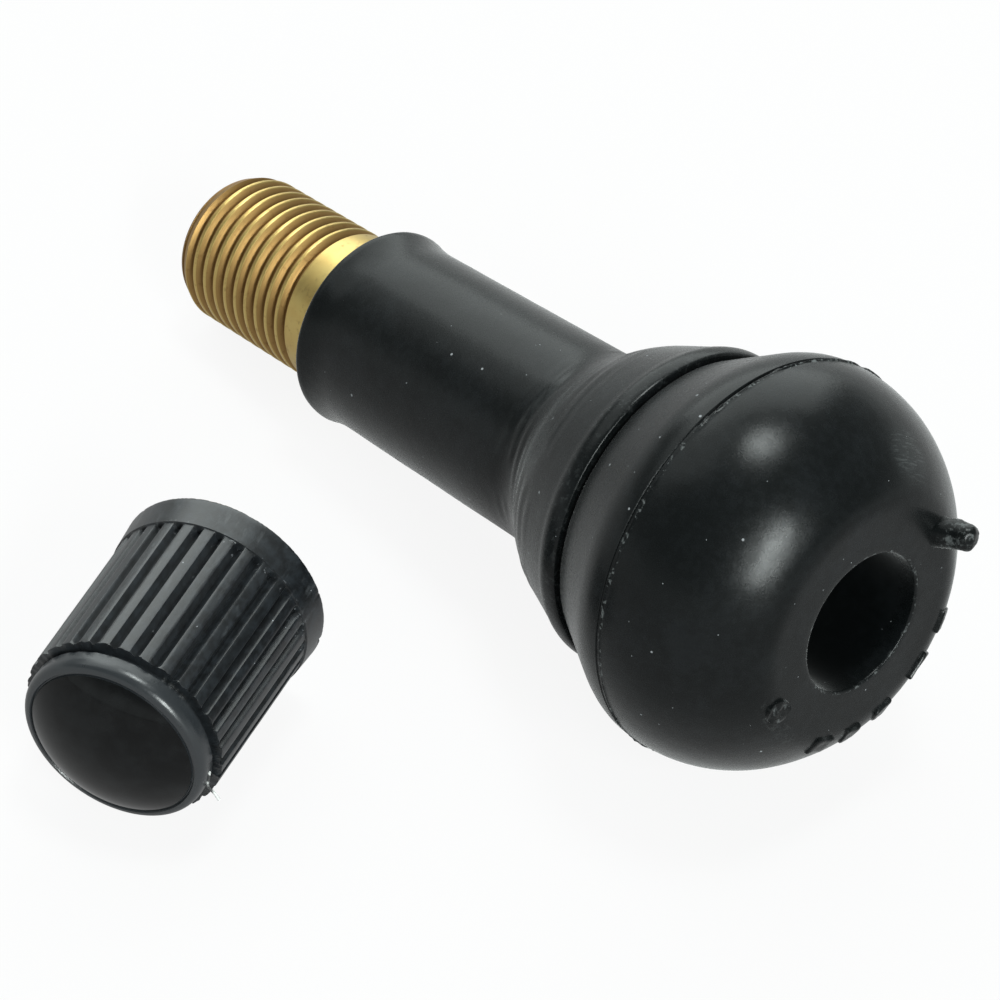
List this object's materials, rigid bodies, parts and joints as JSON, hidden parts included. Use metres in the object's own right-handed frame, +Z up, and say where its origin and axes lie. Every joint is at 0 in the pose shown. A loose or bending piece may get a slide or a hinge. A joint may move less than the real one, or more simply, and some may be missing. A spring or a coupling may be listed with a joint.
{
  "type": "tyre valve",
  "caption": "Snap-in rubber tyre valve with a threaded brass stem and a screw-in core with a sprung pin, and its ribbed dust cap unscrewed beside it.",
  "frame": {"origin": "on the floor, under the middle of the box round the valve and its cap", "axes": "+Z up; the valve lies along X with its threaded end towards -X; the dust cap lies on the -Y side of it"},
  "size_m": [0.0438, 0.0368, 0.0185],
  "materials": {
    "rubber": "moulded black rubber, satin",
    "brass": "turned bright brass",
    "seal": "plain seal rubber",
    "steel": "drawn wire",
    "plastic": "moulded black plastic, glossy dome"
  },
  "bodies": {
    "valve": {"rubber_body": "rubber", "stem": "brass", "dust_cap": "plastic"},
    "barrel": {"core_barrel": "brass", "barrel_seal": "seal", "core_spring": "steel"},
    "plug": {"core_plug": "brass"},
    "pin": {"core_pin": "steel", "plunger_cup": "brass", "cup_seal": "seal"}
  },
  "joints": [
    {"name": "core_travel", "type": "slide", "parent": "valve", "child": "barrel", "axis": [-0.9879, 0, -0.1551], "range_m": [0, 0.00564]},
    {"name": "plug_turn", "type": "hinge", "parent": "barrel", "child": "plug", "pos_m": [-0.02142, 0.00907, 0.00361], "axis": [-0.9879, 0, -0.1551], "range_deg": [0, 2880]},
    {"name": "pin_press", "type": "slide", "parent": "barrel", "child": "pin", "axis": [0.9879, 0, 0.1551], "range_m": [0, 0.0012], "stiffness_N_per_m": 1400, "deforming": ["core_spring"]}
  ],
  "couplings": [
    {"joint": "plug_turn", "follows": "core_travel", "rad_per_m": 8905.2}
  ]
}
